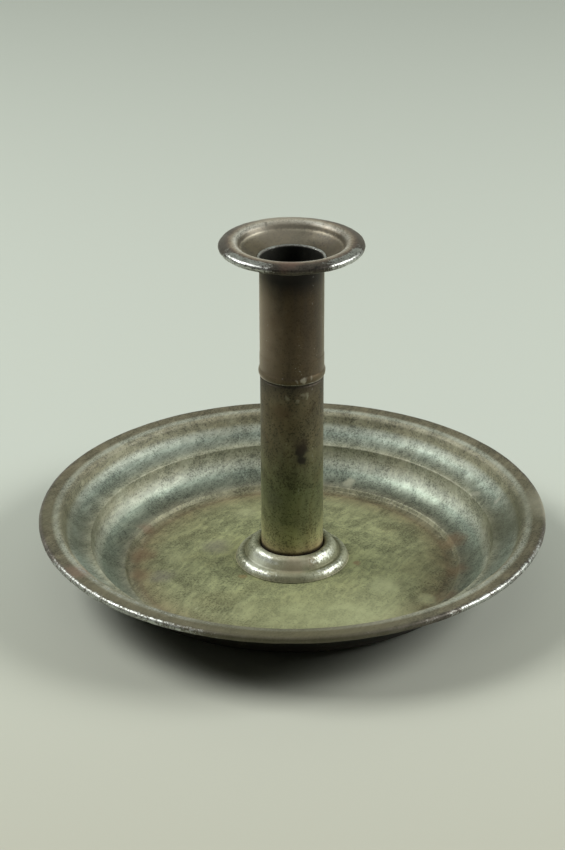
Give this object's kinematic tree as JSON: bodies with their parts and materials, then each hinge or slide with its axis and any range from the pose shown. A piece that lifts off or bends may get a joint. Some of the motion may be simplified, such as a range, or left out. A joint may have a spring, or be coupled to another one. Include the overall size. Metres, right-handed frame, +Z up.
{
  "type": "candlestick",
  "caption": "Saucer candlestick: wide stepped base pan with wired edge, slim two-part tube stem with ringed foot collar, and a small drip pan round the socket.",
  "frame": {"origin": "centre of the base pan's standing ring, on the table", "axes": "+Z up along the stem's axis; the part is turned about Z, so +X and +Y are any two directions square to it"},
  "size_m": [0.1902, 0.1902, 0.132],
  "materials": {
    "saucer_tinplate": "aged tinned sheet iron, dull olive-grey patina with rust stains, brighter on the rims",
    "collar_tinplate": "worn tinned sheet iron, silvery on the rings",
    "stem_tinplate": "aged tinned sheet iron, olive-grey and mottled",
    "socket_tinplate": "aged tinned sheet iron, smoke-darkened brown-grey, smooth",
    "drip_pan_tinplate": "aged tinned sheet iron, grey-brown with a bright worn edge",
    "rim_wire": "dull iron wire",
    "solder": "dull grey soft solder"
  },
  "bodies": {
    "root": {"saucer": "saucer_tinplate", "saucer_rim_wire": "rim_wire", "foot_collar": "collar_tinplate", "stem_tube": "stem_tinplate", "foot_solder": "solder", "socket_tube": "socket_tinplate", "candle_seat": "stem_tinplate", "drip_pan": "drip_pan_tinplate", "drip_pan_rim_wire": "rim_wire", "drip_pan_solder": "solder"}
  },
  "joints": []
}
